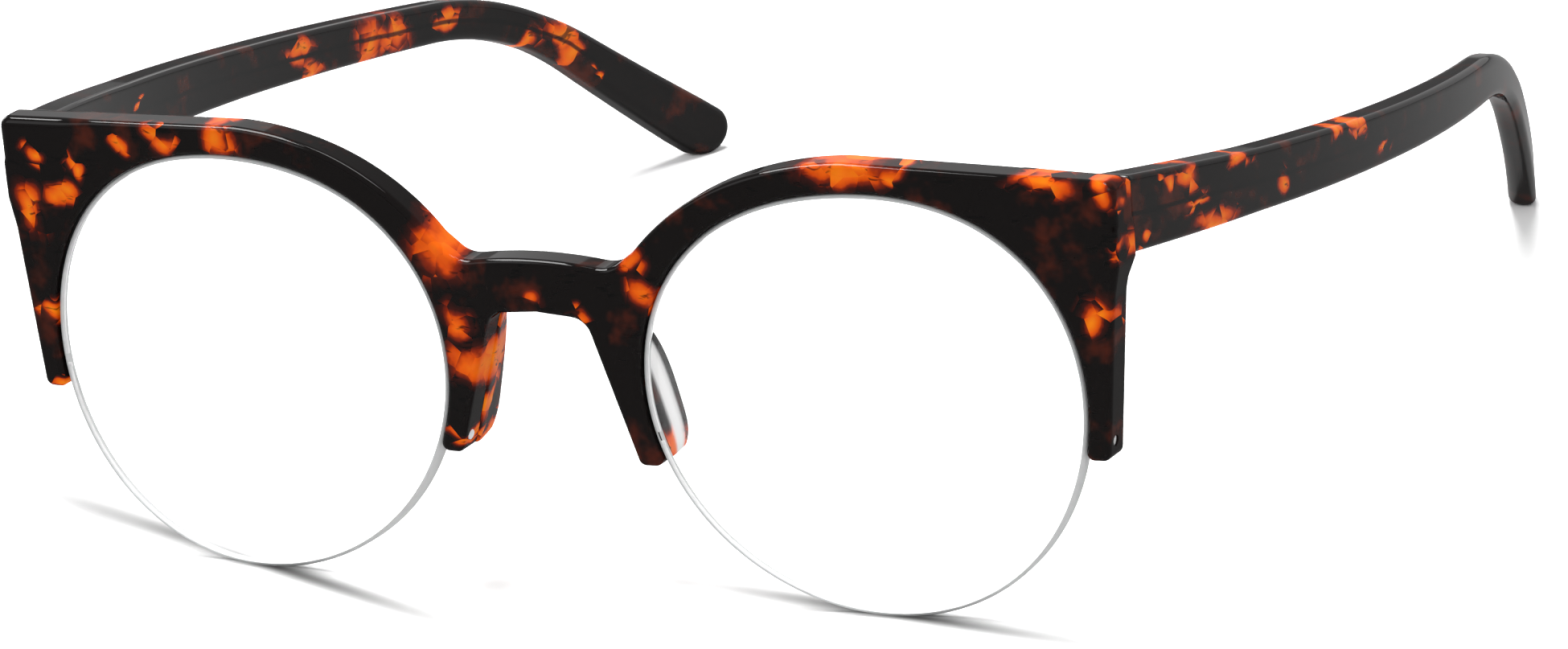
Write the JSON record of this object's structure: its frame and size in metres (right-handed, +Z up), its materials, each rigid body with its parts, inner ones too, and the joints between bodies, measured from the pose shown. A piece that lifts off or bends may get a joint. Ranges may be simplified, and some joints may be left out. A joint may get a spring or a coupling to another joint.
{
  "type": "browline glasses",
  "caption": "Half-rim browline glasses: thick glossy tortoiseshell acetate front with a saddle bridge, clear corded lenses, bonded nose pads, and bowed temples that fold on barrel hinges",
  "frame": {"origin": "centre of the bounding box in plan, on the table the glasses stand on", "axes": "+Z up; -Y is where the front faces and +Y runs back along the temples; +X is the wearer's left"},
  "size_m": [0.143, 0.1464, 0.0495],
  "materials": {
    "tortoiseshell": "polished cellulose acetate, near-black brown with amber patches",
    "pad_acetate": "polished cellulose acetate",
    "lens": "clear, polished, with a fine matte edge",
    "nylon": "drawn nylon line and strip",
    "hinge_steel": "satin stainless steel"
  },
  "bodies": {
    "front": {"front_frame": "tortoiseshell", "nose_pad_left": "pad_acetate", "nose_pad_right": "pad_acetate", "lens_left": "lens", "lens_right": "lens", "lens_cord_left": "nylon", "lens_cord_right": "nylon", "rim_liner_left": "nylon", "rim_liner_right": "nylon", "front_hinge_left": "hinge_steel", "front_hinge_right": "hinge_steel", "hinge_screw_left": "hinge_steel", "hinge_screw_right": "hinge_steel"},
    "left_temple": {"temple_left": "tortoiseshell", "temple_hinge_left": "hinge_steel", "core_wire_left": "hinge_steel"},
    "right_temple": {"temple_right": "tortoiseshell", "temple_hinge_right": "hinge_steel", "core_wire_right": "hinge_steel"}
  },
  "joints": [
    {"name": "left_fold", "type": "hinge", "parent": "front", "child": "left_temple", "pos_m": [0.06115, -0.06309, 0.04335], "axis": [0, 0.0215, 0.9998], "range_deg": [0, 85]},
    {"name": "right_fold", "type": "hinge", "parent": "front", "child": "right_temple", "pos_m": [-0.05903, -0.06309, 0.04335], "axis": [0, -0.0215, -0.9998], "range_deg": [0, 76]}
  ]
}
